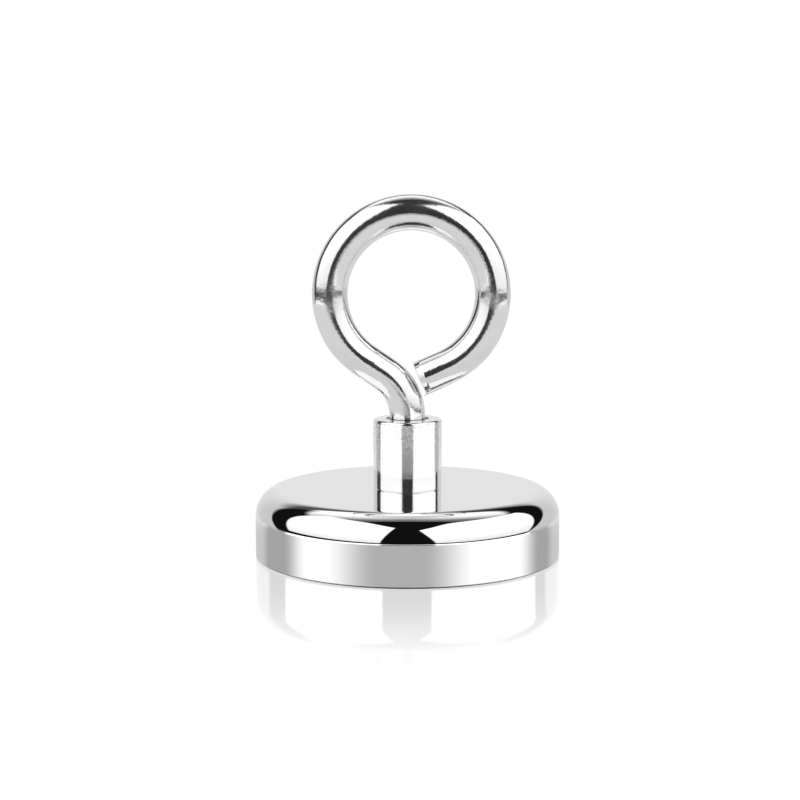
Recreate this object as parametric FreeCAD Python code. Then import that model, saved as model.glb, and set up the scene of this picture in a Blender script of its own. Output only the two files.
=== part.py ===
"""Single-sided fishing magnet: a round steel pot magnet with a threaded boss and a bent-wire eyebolt.

Frame: origin at the centre of the working face, which is the cup's open rim, +Z up along the cup's
axis towards the eye, +Y from front to back. The eye lies in the XZ plane. Units are millimetres.
"""
import FreeCAD, Part
import math
import os

from FreeCAD import Vector

# Cup
CUP_DIAMETER = 60.0
CUP_HEIGHT = 13.4
CUP_TOP_ROUND = 5.2
CUP_RIM_CHAMFER = 0.3
CUP_WALL = 4.0
CUP_PLATE = 5.0
CUP_INNER_ROUND = 1.0

# Magnet, bush and potting inside the cup
MAGNET_DIAMETER = 50.0
MAGNET_BORE = 20.6
MAGNET_EDGE = 0.3
BUSH_DIAMETER = 20.0
FACE_RECESS = 0.4           # magnet and bush sit this far inside the rim
RESIN_RECESS = 0.6
RESIN_MENISCUS = 0.15

# Boss, a plain round threaded sleeve that stands on the cup
BOSS_DIAMETER = 13.5
BOSS_HEIGHT = 13.7
BOSS_TOP_ROUND = 0.6
BOSS_FOOT_CHAMFER = 0.2
BOSS_MOUTH_DEPTH = 1.2      # plain counterbore over the thread, where the stem's run-out sits

# M8 x 1.25 thread, right-hand, shared by the boss, the clamp screw and the eyebolt
THREAD_DIAMETER = 8.0
THREAD_PITCH = 1.25
FLANK = math.radians(30)
SHARP_HEIGHT = THREAD_PITCH * math.cos(FLANK)
PITCH_RADIUS = THREAD_DIAMETER / 2 - 3 / 8 * SHARP_HEIGHT
THREAD_PLAY = 0.04          # each member's radial allowance on the pitch line
MALE_CREST, MALE_ROOT = 3.95, 3.233             # radii of the screw's flats
FEMALE_CREST, FEMALE_ROOT = 3.324, 4.05         # radii of the nut's flats, crest inwards
GROOVE_SPILL = 0.25         # how far a groove runs past the surface that it opens on
CLEARANCE_HOLE = 8.4

# Clamp screw, M8 x 20 countersunk with a hexagon socket
SCREW_LENGTH = 20.0
SCREW_HEAD_RADIUS = 8.0
SCREW_HEAD_RIM = 0.4
SCREW_RECESS = 0.5
SOCKET_FLATS = 5.0
SOCKET_DEPTH = 3.2
SEAT_GAP = 0.02

# Eyebolt, one bent wire
WIRE_DIAMETER = 7.0
EYE_MEAN_RADIUS = 15.9
EYE_CENTRE_X = 0.73
EYE_CENTRE_Z = 51.5
NECK_BEND_RADIUS = 10.0
NECK_BEND_START = 27.5      # height where the straight stem starts to bend
EYE_END_ANGLE = -66.0       # where the eye leaves its circle for the short free end
FREE_END_LENGTH = 5.2
FREE_END_EDGE = 0.25
BURR_LENGTH = 0.5
BURR_DEPTH = 0.7            # thickness of the burr's root
BURR_TIP = 0.14             # thickness of its tip
BURR_WIDTH = 3.5
BURR_ROOT = 1.0             # how far back into the wire its solid starts
TIP_GAP = 0.45              # between the eyebolt's tip and the clamp screw's tip
TIP_CHAMFER = 0.7
STEM_PLAIN_DEPTH = 0.7      # how far the unthreaded stem dips into the boss's mouth

# Cured thread-lock bead in the boss's mouth, round the stem
BEAD_STEM_GAP = 0.03
BEAD_MOUTH_GAP = 0.12
BEAD_BELOW_MOUTH = 0.05
BEAD_HEIGHT = 0.55
BEAD_EDGE = 0.1

SPARE = 1.0                 # stock or cutter that stands past a surface that is cut
SAME_PLACE = 0.01           # two points nearer than this are one

BOSS_TOP = CUP_HEIGHT + BOSS_HEIGHT
POCKET_TOP = CUP_HEIGHT - CUP_PLATE
SCREW_TIP = SCREW_RECESS + SCREW_LENGTH
BOLT_TIP = SCREW_TIP + TIP_GAP
MOUTH_RADIUS = CLEARANCE_HOLE / 2


def point(radius, height):
    return Vector(radius, 0, height)


def line(start, end):
    return Part.makeLine(start, end)


def polyline(points):
    return [line(a, b) for a, b in zip(points, points[1:])]


def revolve(edges):
    """A solid of revolution about Z from a closed outline in the XZ plane."""
    face = Part.Face(Part.Wire(edges))
    solid = face.revolve(Vector(0, 0, 0), Vector(0, 0, 1), 360)
    if solid.Volume < 0:
        solid.reverse()
    return solid


def quarter_arc(centre, radius, start_deg):
    """A 90 degree arc in the XZ plane, from start_deg downwards (clockwise seen from the front)."""
    at = [math.radians(start_deg - turn) for turn in (0, 45, 90)]
    points = [centre + Vector(radius * math.cos(a), 0, radius * math.sin(a)) for a in at]
    return Part.Arc(*points).toShape()


def groove(inner, outer, inner_half, outer_half, low, high, lift):
    """Half-turn lengths of a helical V groove, end to end, that run past the radius it opens at.

    At lift 0 the groove crosses the +X side at whole pitches above the origin.
    """
    if outer_half > inner_half:
        past = outer + GROOVE_SPILL
        corners = [(inner, -inner_half), (inner, inner_half), (outer, outer_half),
                   (past, outer_half), (past, -outer_half), (outer, -outer_half)]
    else:
        past = inner - GROOVE_SPILL
        corners = [(outer, outer_half), (outer, -outer_half), (inner, -inner_half),
                   (past, -inner_half), (past, inner_half), (inner, inner_half)]
    points = [point(*corner) for corner in corners]
    profile = Part.Wire(polyline(points + points[:1]))
    half_pitch = THREAD_PITCH / 2
    helix = Part.Wire(Part.makeHelix(THREAD_PITCH, half_pitch, PITCH_RADIUS))
    length = helix.makePipeShell([profile], True, True)
    if length.Volume < 0:
        length.reverse()
    lengths = []
    for step in range(2 * math.floor(low / THREAD_PITCH), 2 * math.ceil(high / THREAD_PITCH)):
        piece = length.rotated(Vector(0, 0, 0), Vector(0, 0, 1), 180 * (step % 2))
        lengths.append(piece.translated(Vector(0, 0, step * half_pitch + lift)))
    return lengths


def groove_half(opened):
    """Half the width of a V groove, opened millimetres from its pitch line towards its mouth."""
    return THREAD_PITCH / 4 + opened * math.tan(FLANK)


def threaded_rod(low, high):
    """A plain length of male thread, with the groove running out of both its ends."""
    half = [groove_half(r - PITCH_RADIUS + THREAD_PLAY) for r in (MALE_ROOT, MALE_CREST)]
    rod = Part.makeCylinder(MALE_CREST, high - low, Vector(0, 0, low))
    cut = groove(MALE_ROOT, MALE_CREST, half[0], half[1], low - THREAD_PITCH, high + THREAD_PITCH, 0)
    return rod.cut(cut)


def threaded_tube(radius, low, high):
    """A plain round tube, tapped right through, its groove half a pitch from the male one."""
    half = [groove_half(PITCH_RADIUS + THREAD_PLAY - r) for r in (FEMALE_CREST, FEMALE_ROOT)]
    place = Vector(0, 0, low)
    tube = Part.makeCylinder(radius, high - low, place).cut(Part.makeCylinder(FEMALE_CREST, high - low, place))
    cut = groove(FEMALE_CREST, FEMALE_ROOT, half[0], half[1], low - 2 * THREAD_PITCH, high + THREAD_PITCH,
                 THREAD_PITCH / 2)
    return tube.cut(cut)


def make_cup():
    """Deep steel pot, open downwards, with one large round between wall and top."""
    radius = CUP_DIAMETER / 2
    inner = radius - CUP_WALL
    hole = CLEARANCE_HOLE / 2
    shoulder = CUP_HEIGHT - CUP_TOP_ROUND
    pocket = inner - CUP_INNER_ROUND
    edges = polyline([point(hole, CUP_HEIGHT), point(hole, POCKET_TOP), point(pocket, POCKET_TOP)])
    edges.append(quarter_arc(point(pocket, POCKET_TOP - CUP_INNER_ROUND), CUP_INNER_ROUND, 90))
    edges += polyline([
        point(inner, POCKET_TOP - CUP_INNER_ROUND), point(inner, CUP_RIM_CHAMFER),
        point(inner + CUP_RIM_CHAMFER, 0), point(radius - CUP_RIM_CHAMFER, 0),
        point(radius, CUP_RIM_CHAMFER), point(radius, shoulder),
    ])
    edges.append(quarter_arc(point(radius - CUP_TOP_ROUND, shoulder), CUP_TOP_ROUND, 90))
    edges += polyline([point(radius - CUP_TOP_ROUND, CUP_HEIGHT), point(hole, CUP_HEIGHT)])
    return revolve(edges)


def make_magnet():
    """Neodymium ring, glued flat against the cup's plate."""
    outer, bore, low = MAGNET_DIAMETER / 2, MAGNET_BORE / 2, FACE_RECESS
    return revolve(polyline([
        point(bore, POCKET_TOP), point(bore, low + MAGNET_EDGE), point(bore + MAGNET_EDGE, low),
        point(outer - MAGNET_EDGE, low), point(outer, low + MAGNET_EDGE), point(outer, POCKET_TOP),
        point(bore, POCKET_TOP),
    ]))


def make_potting(inner, outer):
    """Resin ring that fills a gap up to the plate, with a hollow meniscus on its open face."""
    inner_edge, outer_edge = point(inner, RESIN_RECESS), point(outer, RESIN_RECESS)
    hollow = point((inner + outer) / 2, RESIN_RECESS + RESIN_MENISCUS)
    meniscus = Part.Arc(inner_edge, hollow, outer_edge).toShape()
    sides = polyline([outer_edge, point(outer, POCKET_TOP), point(inner, POCKET_TOP), inner_edge])
    return revolve([meniscus] + sides)


def head_cone(radius, gap=0.0):
    """The point at radius on the screw's 90 degree head cone, raised by gap."""
    return point(radius, SCREW_RECESS + SCREW_HEAD_RIM + gap + SCREW_HEAD_RADIUS - radius)


def make_bush():
    """Brass centre bush that carries the screw's head and keeps steel out of the magnet's bore."""
    outer = BUSH_DIAMETER / 2
    throat = head_cone(CLEARANCE_HOLE / 2, SEAT_GAP)
    mouth = point(throat.x + throat.z - FACE_RECESS, FACE_RECESS)
    return revolve(polyline([
        throat, point(throat.x, POCKET_TOP), point(outer, POCKET_TOP), point(outer, FACE_RECESS), mouth, throat,
    ]))


def make_screw():
    """Countersunk socket screw that clamps bush and cup to the boss."""
    rim, cone_end = head_cone(SCREW_HEAD_RADIUS), head_cone(MALE_CREST)
    neck = cone_end.z + THREAD_PITCH
    head = revolve(polyline([
        point(0, SCREW_RECESS), point(SCREW_HEAD_RADIUS, SCREW_RECESS), rim, cone_end,
        point(MALE_CREST, neck), point(0, neck), point(0, SCREW_RECESS),
    ]))
    outside, shoulder = MALE_CREST + SPARE, SCREW_TIP - TIP_CHAMFER
    shank = revolve(polyline([
        point(0, neck), point(outside, neck), point(outside, shoulder), point(MALE_CREST, shoulder),
        point(MALE_CREST - TIP_CHAMFER, SCREW_TIP), point(0, SCREW_TIP), point(0, neck),
    ]))
    thread = threaded_rod(neck, SCREW_TIP + THREAD_PITCH).common(shank)
    return head.fuse(thread).cut(hex_socket())


def hex_socket():
    """The cutter for the screw's hexagon socket, with the cone that its drill leaves."""
    flat = SOCKET_FLATS / 2
    across = flat / math.cos(math.radians(30))
    turns = [math.radians(60 * i) for i in range(7)]
    corners = [Vector(across * math.cos(a), across * math.sin(a), SCREW_RECESS - SPARE) for a in turns]
    prism = Part.Face(Part.makePolygon(corners)).extrude(Vector(0, 0, SOCKET_DEPTH + SPARE))
    drill_depth = flat * math.tan(math.radians(30))
    return prism.fuse(Part.makeCone(flat, 0, drill_depth, Vector(0, 0, SCREW_RECESS + SOCKET_DEPTH)))


def make_boss():
    """Round sleeve, tapped M8 right through under a plain mouth, with a small round on its top edge."""
    radius = BOSS_DIAMETER / 2
    outline = polyline([
        point(0, CUP_HEIGHT), point(radius - BOSS_FOOT_CHAMFER, CUP_HEIGHT),
        point(radius, CUP_HEIGHT + BOSS_FOOT_CHAMFER), point(radius, BOSS_TOP - BOSS_TOP_ROUND),
    ])
    outline.append(quarter_arc(point(radius - BOSS_TOP_ROUND, BOSS_TOP - BOSS_TOP_ROUND), BOSS_TOP_ROUND, 90))
    outline += polyline([point(radius - BOSS_TOP_ROUND, BOSS_TOP), point(0, BOSS_TOP), point(0, CUP_HEIGHT)])
    tube = threaded_tube(radius + SPARE, CUP_HEIGHT - THREAD_PITCH, BOSS_TOP + THREAD_PITCH)
    boss = tube.common(revolve(outline))
    thread_top = BOSS_TOP - BOSS_MOUTH_DEPTH
    for mouth, up in ((CUP_HEIGHT, 1), (thread_top, -1)):
        sink = Part.makeCone(MOUTH_RADIUS, 0, MOUTH_RADIUS, Vector(0, 0, mouth), Vector(0, 0, up))
        boss = boss.cut(sink)
    return boss.cut(Part.makeCylinder(MOUTH_RADIUS, BOSS_MOUTH_DEPTH + SPARE, Vector(0, 0, thread_top)))


def wire_disc(place, along):
    """The wire's round section at place, square to along."""
    return Part.Face(Part.Wire(Part.makeCircle(WIRE_DIAMETER / 2, place, along)))


def straight_wire(start, end):
    return wire_disc(start, end - start).extrude(end - start)


def bent_wire(place, along, centre, turn):
    """A bend of the wire about an axis through centre, along Y. A positive turn is clockwise."""
    solid = wire_disc(place, along).revolve(centre, Vector(0, 1, 0), turn)
    if solid.Volume < 0:
        solid.reverse()
    return solid


def make_eyebolt():
    """Threaded stem, neck bend, full round eye and short free end, all one round wire.

    The straight between neck and eye is the common inner tangent of their two circles.
    """
    eye = point(EYE_CENTRE_X, EYE_CENTRE_Z)
    neck = point(-NECK_BEND_RADIUS, NECK_BEND_START)
    apart = eye - neck
    reach = NECK_BEND_RADIUS + EYE_MEAN_RADIUS
    tangent = math.sqrt(apart.Length ** 2 - reach ** 2)
    heading = math.atan2(apart.z, apart.x) + math.acos(tangent / apart.Length)
    along = Vector(math.cos(heading), 0, math.sin(heading))
    left = Vector(-math.sin(heading), 0, math.cos(heading))
    neck_end = neck - left * NECK_BEND_RADIUS
    eye_start = eye + left * EYE_MEAN_RADIUS
    end_angle = math.radians(EYE_END_ANGLE)
    eye_end = eye + Vector(math.cos(end_angle), 0, math.sin(end_angle)) * EYE_MEAN_RADIUS
    end_along = Vector(math.sin(end_angle), 0, -math.cos(end_angle))
    start_angle = math.degrees(math.atan2(left.z, left.x))
    eye_turn = (start_angle - EYE_END_ANGLE) % 360
    neck_turn = math.degrees(heading) - 90

    stem_base = BOSS_TOP - STEM_PLAIN_DEPTH
    bolt = straight_wire(point(0, stem_base), point(0, NECK_BEND_START))
    pieces = [
        bent_wire(point(0, NECK_BEND_START), Vector(0, 0, 1), neck, -neck_turn),
        straight_wire(neck_end, eye_start),
        bent_wire(eye_start, along, eye, eye_turn),
        free_end(eye_end, end_along),
        threaded_stem(stem_base),
    ]
    for piece in pieces:
        bolt = bolt.fuse(piece)
    return bolt.removeSplitter()


def free_end(start, along):
    """The square-cut end of the wire, edge just broken, with the shears' small burr on its low side."""
    end = start + along * FREE_END_LENGTH
    wire = straight_wire(start, end)
    rim = [e for e in wire.Edges if e.CenterOfMass.isEqual(end, SAME_PLACE)]
    return wire.makeFillet(FREE_END_EDGE, rim).fuse(burr(end, along))


def burr(end, along):
    """A wedge of the wire's low side that thins out past the cut at end."""
    down = along.cross(Vector(0, 1, 0))
    if down.z > 0:
        down = -down
    root, tip = end - along * BURR_ROOT, end + along * BURR_LENGTH
    radius = WIRE_DIAMETER / 2
    wedge = Part.Face(Part.makePolygon([
        root + down * (radius - BURR_DEPTH), tip + down * (radius - BURR_TIP), tip + down * (radius + SPARE),
        root + down * (radius + SPARE), root + down * (radius - BURR_DEPTH),
    ]))
    wedge.translate(Vector(0, -BURR_WIDTH / 2, 0))
    return straight_wire(root, tip).common(wedge.extrude(Vector(0, BURR_WIDTH, 0)))


def threaded_stem(top):
    """The stem's rolled M8 thread, from its chamfered tip to the run-out under the plain stem."""
    radius = WIRE_DIAMETER / 2
    run_out = top - (MALE_CREST - radius)
    blank = revolve(polyline([
        point(0, BOLT_TIP), point(MALE_CREST - TIP_CHAMFER, BOLT_TIP), point(MALE_CREST, BOLT_TIP + TIP_CHAMFER),
        point(MALE_CREST, run_out), point(radius, top), point(0, top), point(0, BOLT_TIP),
    ]))
    thread = threaded_rod(BOLT_TIP - THREAD_PITCH, run_out).common(blank)
    neck = revolve(polyline([
        point(0, run_out), point(MALE_CREST, run_out), point(radius, top), point(0, top), point(0, run_out),
    ]))
    return thread.fuse(neck)


def make_bead():
    """Cured thread-lock that fills the boss's mouth round the stem and turns out with it."""
    inner = WIRE_DIAMETER / 2 + BEAD_STEM_GAP
    outer = MOUTH_RADIUS - BEAD_MOUTH_GAP
    top = BOSS_TOP - BEAD_BELOW_MOUTH
    return revolve(polyline([
        point(inner, top), point(outer - BEAD_EDGE, top), point(outer, top - BEAD_EDGE),
        point(outer, top - BEAD_HEIGHT), point(inner, top - BEAD_HEIGHT), point(inner, top),
    ]))


def main():
    os.makedirs("parts", exist_ok=True)
    cup = make_cup()
    parts = {
        "steel_cup": cup,
        "ring_magnet": make_magnet(),
        "outer_potting": make_potting(MAGNET_DIAMETER / 2, CUP_DIAMETER / 2 - CUP_WALL).cut(cup),
        "inner_potting": make_potting(BUSH_DIAMETER / 2, MAGNET_BORE / 2),
        "centre_bush": make_bush(),
        "clamp_screw": make_screw(),
        "threaded_boss": make_boss(),
        "eyebolt": make_eyebolt(),
        "thread_lock_bead": make_bead(),
    }
    for name, shape in parts.items():
        solids = shape.Solids
        print(f"{name:18s} valid {shape.isValid()} solids {len(solids)} volume {shape.Volume:.1f}")
        if len(solids) == 1:
            shape = solids[0]
        shape.exportStep(os.path.join("parts", name + ".step"))


main()
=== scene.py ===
"""Looks of the fishing magnet: bright plated steel in a plain white studio."""
import math

import bpy
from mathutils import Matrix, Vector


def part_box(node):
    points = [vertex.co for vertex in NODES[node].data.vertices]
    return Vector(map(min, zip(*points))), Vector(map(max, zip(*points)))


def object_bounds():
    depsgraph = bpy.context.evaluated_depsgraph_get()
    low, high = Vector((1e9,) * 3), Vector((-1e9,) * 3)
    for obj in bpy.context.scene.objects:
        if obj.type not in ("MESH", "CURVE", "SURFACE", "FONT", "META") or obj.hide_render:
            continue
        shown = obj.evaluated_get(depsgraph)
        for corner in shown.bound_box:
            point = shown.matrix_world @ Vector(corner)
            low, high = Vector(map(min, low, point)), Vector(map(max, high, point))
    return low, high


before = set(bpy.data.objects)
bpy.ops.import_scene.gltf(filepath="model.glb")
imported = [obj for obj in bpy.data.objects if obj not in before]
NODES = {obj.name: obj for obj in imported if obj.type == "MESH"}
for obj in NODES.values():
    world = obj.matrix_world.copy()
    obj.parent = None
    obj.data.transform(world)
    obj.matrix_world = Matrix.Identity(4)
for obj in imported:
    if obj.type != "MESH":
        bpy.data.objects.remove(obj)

CAD_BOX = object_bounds()

# Lengths and places are in metres
MM = 0.001
MICRON = 0.000001

# Camera, in front of the magnet and a little above it
CAMERA_PLACE = (-0.00148, -0.32978, 0.07384)
CAMERA_PITCH = 7.45         # degrees below level
CAMERA_LENS = 76.14         # millimetres, for a sensor 36 mm wide

# Studio. Azimuth 0 is towards the camera and + is to the right, height is the angle above level, both in
# degrees. The rest is brightness, where 1 is white.
HORIZON = -7.4
SKY_FRONT = 0.006
SKY_OVERHEAD = 0.16
SKY_BEHIND = 1.2
SOFTBOX = 1.3
SOFTBOX_FOOT = 0.95
BACK_WALL = 0.84
BACK_WALL_SIDE = 0.65
BACK_WALL_TOP = 0.08
TABLE = 0.72
TABLE_BEHIND = 1.1
TABLE_GLARE = 1.75          # far off, where the table mirrors the softboxes
TABLE_SHADE = 0.05          # straight down, in the magnet's own shade

# Floor, grey card and clear films
FLOOR_SIZE = 6.0
FLOOR_WHITE = 1.02
FLOOR_MIRROR = 0.32
FLOOR_MIRROR_REACH = 62 * MM        # the mirror image fades out over this distance from the cup
CARD_INSIDE, CARD_OUTSIDE = 36 * MM, 175 * MM
CARD_STEPS = 96
CARD_LIGHT = 0.75
FILM_LAYERS = 4
FILM_GAP = 20 * MICRON

# Shapes of the metal and marks on it
CUP_ROUND = 5.2 * MM
CUP_LEAN = 0.2 * MM         # the wall starts to lean in this far under the round
CUP_RIM = 0.6 * MM          # height of the rubbed rim
EYE_CENTRE = (0.00073, 0.0515)                               # x, z
EYE_RADIUS = 0.0159
EYE_FROM, EYE_TO = math.radians(-151), math.radians(156)     # clockwise from the eye's top
BENDING_MARKS = ((-0.0140, 0.0490, 0.0026), (0.0160, 0.0505, 0.0022))       # x, z, reach
FREE_END = (0.00245, 0.03486)                                # x, z of the sheared face's centre
FREE_END_ALONG = (-0.9135, -0.4067)                          # which way that face looks


class Tree:
    """A node tree, with short calls for the maths in it. A value is a number or an output socket."""

    def __init__(self, owner):
        owner.use_nodes = True
        self.tree = owner.node_tree
        self.tree.nodes.clear()

    def node(self, kind, settings=None, **inputs):
        made = self.tree.nodes.new("ShaderNode" + kind)
        for name, value in (settings or {}).items():
            setattr(made, name, value)
        for name, value in inputs.items():
            self.feed(made.inputs[name.replace("_", " ")], value)
        return made

    def feed(self, socket, value):
        if isinstance(value, bpy.types.NodeSocket):
            self.tree.links.new(value, socket)
        else:
            socket.default_value = value

    def maths(self, operation, *values):
        made = self.node("Math", {"operation": operation})
        for socket, value in zip(made.inputs, values):
            self.feed(socket, value)
        return made.outputs[0]

    def add(self, a, b):
        return self.maths("ADD", a, b)

    def subtract(self, a, b):
        return self.maths("SUBTRACT", a, b)

    def multiply(self, a, b):
        return self.maths("MULTIPLY", a, b)

    def slide(self, value, low, high, start=0.0, end=1.0):
        """start below low, end above high, and smooth between. low may be above high."""
        made = self.node("MapRange", {"interpolation_type": "SMOOTHSTEP"})
        for socket, number in zip(made.inputs, (value, low, high, start, end)):
            self.feed(socket, number)
        return made.outputs["Result"]

    def beyond(self, value, edge, soft):
        """1 where value is above edge and 0 below, with a border twice as wide as soft."""
        return self.slide(self.subtract(value, edge), self.multiply(soft, -1), soft)

    def paint(self, under, over, mask):
        """under, with over on top of it where mask is 1."""
        made = self.node("Mix", {"data_type": "FLOAT"})
        for place, value in ((0, mask), (2, under), (3, over)):
            self.feed(made.inputs[place], value)
        return made.outputs[0]

    def coat(self, under, over, mask):
        """The shader under, with the shader over on top of it where mask is 1."""
        made = self.node("MixShader", Fac=mask)
        for place, shader in ((1, under), (2, over)):
            self.tree.links.new(shader, made.inputs[place])
        return made.outputs[0]

    def show(self, shader, output="OutputMaterial"):
        """Makes that shader the result of the whole tree."""
        self.tree.links.new(shader, self.node(output).inputs["Surface"])

    def hypotenuse(self, a, b):
        return self.maths("SQRT", self.add(self.multiply(a, a), self.multiply(b, b)))

    def length(self, vector):
        return self.node("VectorMath", {"operation": "LENGTH"}, Vector=vector).outputs["Value"]

    def both(self, *masks):
        """1 where all the masks are 1."""
        result = masks[0]
        for mask in masks[1:]:
            result = self.multiply(result, mask)
        return result


def sheet(name, points, faces, material):
    """An object of flat faces, linked into the scene."""
    mesh = bpy.data.meshes.new(name)
    mesh.from_pydata(points, [], faces)
    mesh.materials.append(material)
    made = bpy.data.objects.new(name, mesh)
    bpy.context.scene.collection.objects.link(made)
    return made


def level_square(name, height, material):
    """A level square as large as the floor."""
    half = FLOOR_SIZE / 2
    corners = [(-half, -half, height), (half, -half, height), (half, half, height), (-half, half, height)]
    return sheet(name, corners, [(0, 1, 2, 3)], material)


def make_camera():
    data = bpy.data.cameras.new("camera")
    data.lens = CAMERA_LENS
    data.sensor_width = 36
    camera = bpy.data.objects.new("camera", data)
    camera.location = CAMERA_PLACE
    camera.rotation_euler = (math.radians(90 - CAMERA_PITCH), 0, 0)
    bpy.context.scene.collection.objects.link(camera)
    bpy.context.scene.camera = camera


class Studio(Tree):
    """The studio that the metal mirrors: two large softboxes left and right of the camera, black above and
    between them, and a pale table and back wall. Each part of it is painted by direction."""

    def __init__(self, world):
        super().__init__(world)
        direction = self.node("TexCoord").outputs["Generated"]
        x, y, z = self.node("SeparateXYZ", Vector=direction).outputs
        degrees = 180 / math.pi
        self.azimuth = self.multiply(self.maths("ARCTAN2", x, self.multiply(y, -1)), degrees)
        self.height = self.multiply(self.maths("ARCSINE", z), degrees)
        self.left = self.multiply(self.azimuth, -1)
        self.aside = self.maths("ABSOLUTE", self.azimuth)

    def line(self, value, slope, start):
        return self.maths("MULTIPLY_ADD", value, slope, start)

    def arch(self, value, middle, fall, top):
        """An arched edge: top at the middle, and lower with the square of the way from it."""
        return self.line(self.maths("POWER", self.subtract(value, middle), 2), -fall, top)

    def sky_and_wall(self):
        """Black over the camera, grey overhead, white behind the magnet, and the back wall under that white.
        The wall starts further back the higher it is, and is dark along its upper edge."""
        aside, height = self.aside, self.height
        white = self.both(self.slide(aside, 100, 148), self.slide(height, 88, 56))
        sky = self.paint(SKY_OVERHEAD, SKY_BEHIND, white)
        lit = self.both(self.slide(aside, 80, 92), self.slide(height, 44, 49))
        upper = self.paint(SKY_FRONT, sky, lit)

        top = self.both(self.slide(height, 25, 38), self.slide(aside, 136, 146))
        wall = self.paint(self.slide(aside, 138, 176, BACK_WALL_SIDE, BACK_WALL), BACK_WALL_TOP, top)
        wall = self.paint(wall, sky, self.beyond(height, 44, 1.5))
        left_edge, right_edge = self.line(height, 0.74, 117.5), self.line(height, 1.42, 107.5)
        edge = self.paint(left_edge, right_edge, self.slide(self.azimuth, -1, 1))
        return self.paint(upper, wall, self.beyond(aside, edge, self.slide(height, 10, 24, 1.5, 4)))

    def softboxes(self):
        """1 inside the softboxes, which have leaning sides and arched tops."""
        azimuth, left, height = self.azimuth, self.left, self.height
        left_box = self.both(
            self.beyond(left, self.line(height, -0.1, 20), 0.8),
            self.beyond(self.line(height, 0.44, 98), left, 1.5),
            self.beyond(self.arch(left, 67, 0.00374, 70.5), height, 1),
            self.beyond(height, self.line(left, 0.03, HORIZON + 4.2), 0.4),
        )
        right_box = self.both(
            self.beyond(azimuth, self.line(height, -0.18, 20), 0.8),
            self.beyond(self.line(height, 0.66, 102), azimuth, 1.5),
            self.beyond(self.arch(azimuth, 65, 0.0062, 68), height, 1),
            self.beyond(height, HORIZON + 4.4, 0.4),
        )
        return self.add(left_box, right_box)

    def table(self):
        """Bright where it mirrors the softboxes, greyer between them and beside the magnet. Far, near and
        below are strips of it, from the horizon down."""
        aside, height = self.aside, self.height
        far = self.paint(self.slide(height, -8.0, -9.3, 1.5, 0.0), TABLE_GLARE, self.beyond(aside, 20, 2))
        far = self.paint(far, 0.45, self.slide(aside, 98, 106))
        far = self.paint(far, 0.8, self.slide(aside, 126, 134))
        from_glare = self.maths("ABSOLUTE", self.add(self.azimuth, 6))
        from_side = self.maths("ABSOLUTE", self.subtract(self.azimuth, 5))
        near = self.paint(0.49, 1.2, self.slide(from_glare, 16, 62))
        near = self.paint(near, 0.42, self.slide(from_side, 83, 111))
        near = self.paint(near, 0.63, self.slide(aside, 127, 143))
        below = self.paint(TABLE, TABLE_BEHIND, self.beyond(aside, 150, 6))
        below = self.paint(below, TABLE_SHADE, self.slide(height, -58, -68))
        table = self.paint(below, near, self.beyond(height, -17, 2))
        return self.paint(table, far, self.beyond(height, -11.5, 0.6))

    def hidden(self):
        """1 for the camera, and for a ray that rose through every film and met nothing but the floor."""
        path = self.node("LightPath").outputs
        from_floor = self.both(
            self.beyond(path["Transparent Depth"], FILM_LAYERS - 0.5, 0.1),
            self.beyond(2.5, path["Ray Depth"], 0.1),
            self.beyond(self.height, 0, 0.1),
        )
        return self.maths("MAXIMUM", path["Is Camera Ray"], from_floor)


def make_studio():
    """The world: the studio to the metal, and plain white to whatever looks straight at it."""
    world = bpy.data.worlds.new("studio")
    bpy.context.scene.world = world
    t = Studio(world)
    box_light = t.slide(t.height, -8, 30, SOFTBOX_FOOT, SOFTBOX)
    upper = t.paint(t.sky_and_wall(), box_light, t.softboxes())
    blur = t.slide(t.aside, 98, 112, 0.5, 4)
    radiance = t.paint(t.table(), upper, t.beyond(t.height, HORIZON, blur))
    seen = t.paint(radiance, 1.0, t.hidden())
    t.show(t.node("Background", Color=(1, 1, 1, 1), Strength=seen).outputs[0], "OutputWorld")


def make_floor():
    """Glossy white acrylic: its mirror image of the magnet fades outwards, and nothing else shows on it. From
    below it is clear."""
    material = bpy.data.materials.new("white_acrylic")
    floor = level_square("floor", 0, material)
    floor.visible_glossy = floor.visible_diffuse = floor.visible_shadow = False

    t = Tree(material)
    from_axis = t.length(t.node("TexCoord").outputs["Object"])
    rim = CAD_BOX[1].x
    grazing = t.slide(t.node("LayerWeight", Blend=0.5).outputs["Facing"], 0.2, 0.75)
    mirror = t.multiply(t.slide(from_axis, rim, rim + FLOOR_MIRROR_REACH, FLOOR_MIRROR, 0.0), grazing)
    white = t.node("Emission", Strength=FLOOR_WHITE).outputs[0]
    gloss = t.node("BsdfGlossy", Color=(1, 1, 1, 1), Roughness=0.05).outputs[0]
    clear = t.node("BsdfTransparent").outputs[0]
    t.show(t.coat(t.coat(white, gloss, mirror), clear, t.node("NewGeometry").outputs["Backfacing"]))


def make_films():
    """Clear films just over the floor, which only mirrored rays meet. By their count the studio knows a ray
    that left the floor and missed the magnet, and is white to it, so the floor mirrors only the magnet."""
    material = bpy.data.materials.new("clear_film")
    t = Tree(material)
    t.show(t.node("BsdfTransparent").outputs[0])
    for layer in range(FILM_LAYERS):
        film = level_square("film_%d" % layer, (layer + 1) * FILM_GAP, material)
        film.visible_camera = film.visible_diffuse = film.visible_shadow = False


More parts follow.
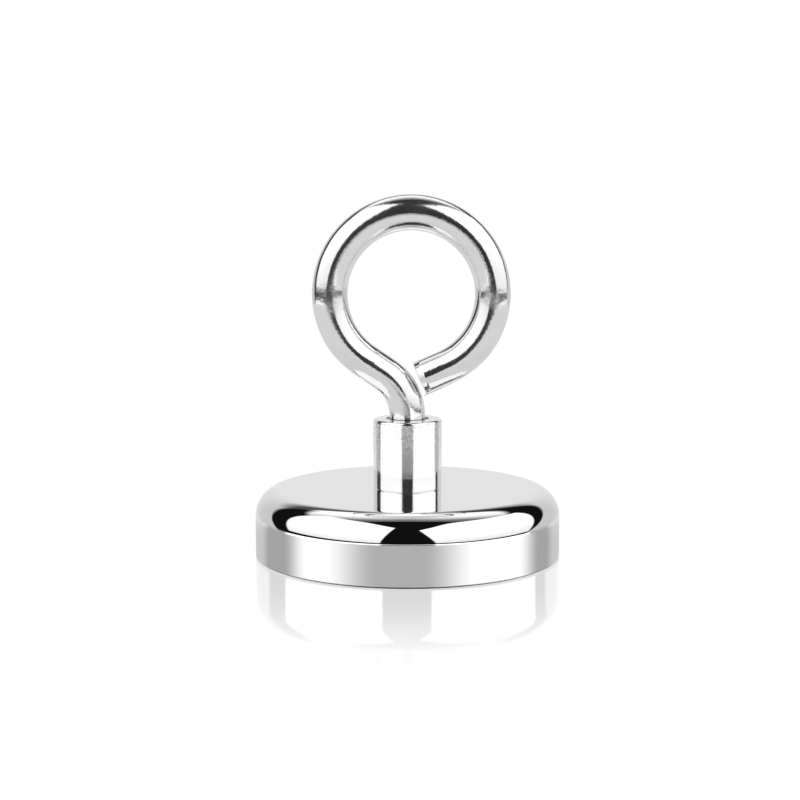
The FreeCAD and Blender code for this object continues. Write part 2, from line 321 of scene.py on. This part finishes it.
def make_card():
    """A pale grey ring of card round the neck, level with the boss's top. Only reflections see it, and only
    from above, so the eye mirrors plain grey below itself while cup and boss still mirror the table."""
    material = bpy.data.materials.new("grey_card")
    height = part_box("threaded_boss")[1].z
    turns = [2 * math.pi * step / CARD_STEPS for step in range(CARD_STEPS)]
    points = [(r * math.cos(a), r * math.sin(a), height) for a in turns for r in (CARD_INSIDE, CARD_OUTSIDE)]
    faces = [(i, i + 1, (i + 3) % len(points), (i + 2) % len(points)) for i in range(0, len(points), 2)]
    card = sheet("card", points, faces, material)
    card.visible_camera = card.visible_diffuse = card.visible_shadow = card.visible_transmission = False

    t = Tree(material)
    from_axis = t.length(t.node("TexCoord").outputs["Object"])
    inner_fade = t.slide(from_axis, CARD_INSIDE, 1.3 * CARD_INSIDE)
    outer_fade = t.slide(from_axis, CARD_OUTSIDE, 0.9 * CARD_OUTSIDE)
    above = t.subtract(1.0, t.node("NewGeometry").outputs["Backfacing"])
    clear = t.node("BsdfTransparent").outputs[0]
    pale = t.node("Emission", Strength=CARD_LIGHT).outputs[0]
    t.show(t.coat(clear, pale, t.both(inner_fade, outer_fade, above)))


class Finish(Tree):
    """The material of one piece. Its coordinates are the part's own, in metres, so it stays with a moving
    piece. Colour and roughness are typical values, in whose place tint and rough put varied ones."""

    def __init__(self, name, colour, metallic, roughness):
        self.material = bpy.data.materials.new(name)
        super().__init__(self.material)
        self.place = self.node("TexCoord").outputs["Object"]
        self.x, self.y, self.z = self.node("SeparateXYZ", Vector=self.place).outputs
        self.from_axis = self.hypotenuse(self.x, self.y)
        self.surface = self.node(
            "BsdfPrincipled", Base_Color=(*colour, 1), Metallic=metallic, Roughness=roughness)
        self.show(self.surface.outputs[0])
        self.normal = None

    def noise(self, size, detail, place=None):
        """Cloudy 0 to 1 noise with marks about size metres across."""
        made = self.node("TexNoise", Vector=place or self.place, Scale=0.5 / size, Detail=detail)
        return made.outputs[0]

    def vector(self, x, y, z):
        return self.node("CombineXYZ", X=x, Y=y, Z=z).outputs[0]

    def rings(self, size, detail):
        """Noise in rings round the axis, as a lathe's tool leaves them."""
        return self.noise(size, detail, self.vector(self.from_axis, 0.0, self.z))

    def tint(self, dark, light, mask):
        """Base colour that runs from dark to light with mask."""
        made = self.node("Mix", {"data_type": "RGBA"})
        for place, value in ((0, mask), (6, (*dark, 1)), (7, (*light, 1))):
            self.feed(made.inputs[place], value)
        self.feed(self.surface.inputs["Base Color"], made.outputs[2])

    def rough(self, value):
        self.feed(self.surface.inputs["Roughness"], value)

    def relief(self, height, depth):
        """Height, from 0 to 1, raised depth metres out of the surface, over what was there before."""
        made = self.node("Bump", Height=height, Distance=depth)
        if self.normal is not None:
            self.feed(made.inputs["Normal"], self.normal)
        self.normal = made.outputs[0]
        self.feed(self.surface.inputs["Normal"], self.normal)

    def true_normal(self, normal, mask):
        """The exact normal of a curved face, where mask is 1, in place of the mesh's."""
        to_world = {"vector_type": "NORMAL", "convert_from": "OBJECT", "convert_to": "WORLD"}
        exact = self.node("VectorTransform", to_world, Vector=normal).outputs[0]
        mesh_normal = self.node("NewGeometry").outputs["Normal"]
        made = self.node("Mix", {"data_type": "VECTOR"})
        for place, value in ((0, mask), (4, mesh_normal), (5, exact)):
            self.feed(made.inputs[place], value)
        self.normal = self.node("VectorMath", {"operation": "NORMALIZE"}, Vector=made.outputs[1]).outputs[0]
        self.feed(self.surface.inputs["Normal"], self.normal)

    def around(self, radius, height):
        """The exact normals of a turned body's outside, whose section is a rounded corner with its centre at
        that radius and height, and how far each point is from that centre."""
        out = self.maths("MAXIMUM", self.subtract(self.from_axis, radius), 0.0)
        up = self.maths("MAXIMUM", self.subtract(self.z, height), 0.0)
        share = self.maths("DIVIDE", out, self.from_axis)
        normal = self.vector(self.multiply(self.x, share), self.multiply(self.y, share), up)
        return normal, self.length(normal)

    def on(self, *nodes):
        for name in nodes:
            for slot in NODES[name].material_slots:
                slot.material = self.material


def grey(level):
    return level, level, level


def cup_finish():
    """Mirror-bright plating, a little hazy in clouds, with fine turning marks, a rubbed rim, and painted
    contact shade on the bottom chamfer.
    """
    f = Finish("cup_plating", grey(0.87), 1.0, 0.03)
    radius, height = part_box("steel_cup")[1].x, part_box("steel_cup")[1].z
    normal, away = f.around(radius - CUP_ROUND, height - CUP_ROUND - CUP_LEAN)
    f.true_normal(normal, f.beyond(away, CUP_ROUND - 0.1 * MM, 0.03 * MM))

    # Painted contact shade: the base colour darkens on the bottom chamfer, where the cup meets the floor.
    painted_contact_shade = f.both(
        f.slide(f.z, 0.4 * MM, 0.28 * MM),
        f.slide(f.z, 0.0, 0.04 * MM),
        f.slide(f.from_axis, radius - 1.0 * MM, radius - 0.5 * MM),
    )
    f.tint(grey(0.87), grey(0.2), painted_contact_shade)
    rim = f.slide(f.z, CUP_RIM, CUP_RIM / 3)
    scratches = f.noise(0.15 * MM, 2, f.vector(f.multiply(f.x, 0.12), f.y, f.z))
    haze = f.slide(f.noise(6 * MM, 3), 0.45, 0.8, 0.02, 0.045)
    f.rough(f.paint(haze, f.slide(scratches, 0.3, 0.7, 0.14, 0.3), rim))
    f.relief(f.rings(0.18 * MM, 1), 0.1 * MICRON)
    f.relief(scratches, f.multiply(rim, 4 * MICRON))
    f.on("steel_cup")


def boss_finish():
    """Bright plating over a turned surface, with a fine speckle that fades towards the foot."""
    f = Finish("boss_plating", grey(0.88), 0.97, 0.14)
    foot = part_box("steel_cup")[1].z
    grain = f.noise(0.22 * MM, 2)
    clean = f.slide(f.z, foot + 12 * MM, foot + 2 * MM)
    f.tint(grey(0.74), grey(0.98), f.maths("MAXIMUM", f.slide(grain, 0.38, 0.58), clean))
    f.rough(f.slide(f.noise(2 * MM, 3), 0.3, 0.75, 0.10, 0.15))
    f.relief(grain, 1 * MICRON)
    f.relief(f.rings(0.15 * MM, 1), 0.3 * MICRON)
    f.on("threaded_boss")


def wire_finish():
    """Bright plating on drawn wire: a faint waviness, fine speckle, and rubbed patches where the bending pins
    held it. The neck swells a little over the boss, and the sheared end's edge is drawn in."""
    f = Finish("wire_plating", grey(0.87), 0.96, 0.1)
    aside, up = f.subtract(f.x, EYE_CENTRE[0]), f.subtract(f.z, EYE_CENTRE[1])
    share = f.subtract(1.0, f.maths("DIVIDE", EYE_RADIUS, f.hypotenuse(aside, up)))
    normal = f.vector(f.multiply(aside, share), f.y, f.multiply(up, share))
    angle = f.maths("ARCTAN2", aside, up)
    f.true_normal(normal, f.both(f.beyond(angle, EYE_FROM, 0.01), f.beyond(EYE_TO, angle, 0.01)))

    cloud = f.noise(4 * MM, 3)
    f.tint(grey(0.82), grey(0.89), cloud)
    rubbed = 0.0
    for x, z, reach in BENDING_MARKS:
        away = f.hypotenuse(f.subtract(f.x, x), f.subtract(f.z, z))
        rubbed = f.maths("MAXIMUM", rubbed, f.slide(away, reach, 0.2 * reach))
    f.rough(f.add(f.slide(cloud, 0.3, 0.75, 0.09, 0.15), f.multiply(rubbed, 0.1)))

    boss_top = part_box("threaded_boss")[1].z
    f.relief(f.slide(f.z, boss_top, boss_top + 5 * MM), 170 * MICRON)
    f.relief(free_end_form(f), 300 * MICRON)
    f.relief(f.noise(4 * MM, 1), 70 * MICRON)
    f.relief(f.noise(0.3 * MM, 2), 14 * MICRON)
    f.relief(f.noise(0.5 * MM, 3), f.multiply(rubbed, 40 * MICRON))
    f.on("eyebolt")


def free_end_form(f):
    """0 at the sheared edge, rising to 1 a little way up the wire, and 1 everywhere away from that end."""
    aside, up = f.subtract(FREE_END[0], f.x), f.subtract(FREE_END[1], f.z)
    depth = f.add(f.multiply(aside, FREE_END_ALONG[0]), f.multiply(up, FREE_END_ALONG[1]))
    drawn = f.maths("MAXIMUM", f.slide(depth, 0.0, 1.3 * MM), f.slide(depth, -0.2 * MM, -0.4 * MM))
    return f.maths("MAXIMUM", drawn, f.slide(f.hypotenuse(aside, up), 4.2 * MM, 5 * MM))


def magnet_finish():
    """Dull nickel plating over sintered, slightly grainy neodymium."""
    f = Finish("magnet_plating", (0.6, 0.59, 0.56), 1.0, 0.3)
    cloud = f.noise(5 * MM, 4)
    f.tint((0.52, 0.51, 0.48), (0.66, 0.65, 0.62), cloud)
    f.rough(f.slide(cloud, 0.3, 0.7, 0.24, 0.4))
    f.relief(f.noise(0.3 * MM, 3), 20 * MICRON)
    f.on("ring_magnet")


def resin_finish():
    """Black epoxy, wavy and a little dusty, with small pits from bubbles."""
    f = Finish("potting_resin", (0.012, 0.012, 0.014), 0.0, 0.25)
    dust = f.noise(2.5 * MM, 4)
    f.tint((0.008, 0.008, 0.010), (0.035, 0.035, 0.037), f.slide(dust, 0.4, 0.8))
    f.rough(f.slide(dust, 0.35, 0.75, 0.14, 0.42))
    f.relief(f.noise(1.5 * MM, 2), 80 * MICRON)
    pits = f.node("TexVoronoi", Vector=f.place, Scale=700.0)        # one pit in every 1.4 mm
    f.relief(f.slide(pits.outputs["Distance"], 0.05, 0.16), 60 * MICRON)
    f.on("outer_potting", "inner_potting")


def turned_finish(name, colour, dark, roughness, *nodes):
    """Bare or thinly plated metal with the rings that the lathe's tool left."""
    f = Finish(name, colour, 1.0, roughness)
    rings = f.rings(0.15 * MM, 2)
    cloud = f.noise(3 * MM, 3)
    f.tint(dark, colour, f.slide(f.add(cloud, f.multiply(rings, 0.3)), 0.35, 0.8))
    f.rough(f.slide(rings, 0.3, 0.7, roughness * 0.8, roughness * 1.3))
    f.relief(rings, 6 * MICRON)
    f.on(*nodes)


def lock_finish():
    """Cured thread-lock, smooth and slightly uneven."""
    f = Finish("thread_lock", (0.02, 0.022, 0.03), 0.0, 0.2)
    lumps = f.noise(0.6 * MM, 2)
    f.tint((0.012, 0.013, 0.02), (0.04, 0.042, 0.055), lumps)
    f.rough(f.slide(lumps, 0.3, 0.7, 0.15, 0.35))
    f.relief(lumps, 60 * MICRON)
    f.on("thread_lock_bead")


make_camera()
make_studio()
make_floor()
make_films()
make_card()
bpy.context.scene.view_settings.view_transform = "Standard"

cup_finish()
boss_finish()
wire_finish()
magnet_finish()
resin_finish()
turned_finish("bush_brass", (0.78, 0.58, 0.30), (0.62, 0.44, 0.21), 0.2, "centre_bush")
turned_finish("screw_plating", (0.70, 0.71, 0.72), (0.55, 0.56, 0.58), 0.26, "clamp_screw")
lock_finish()
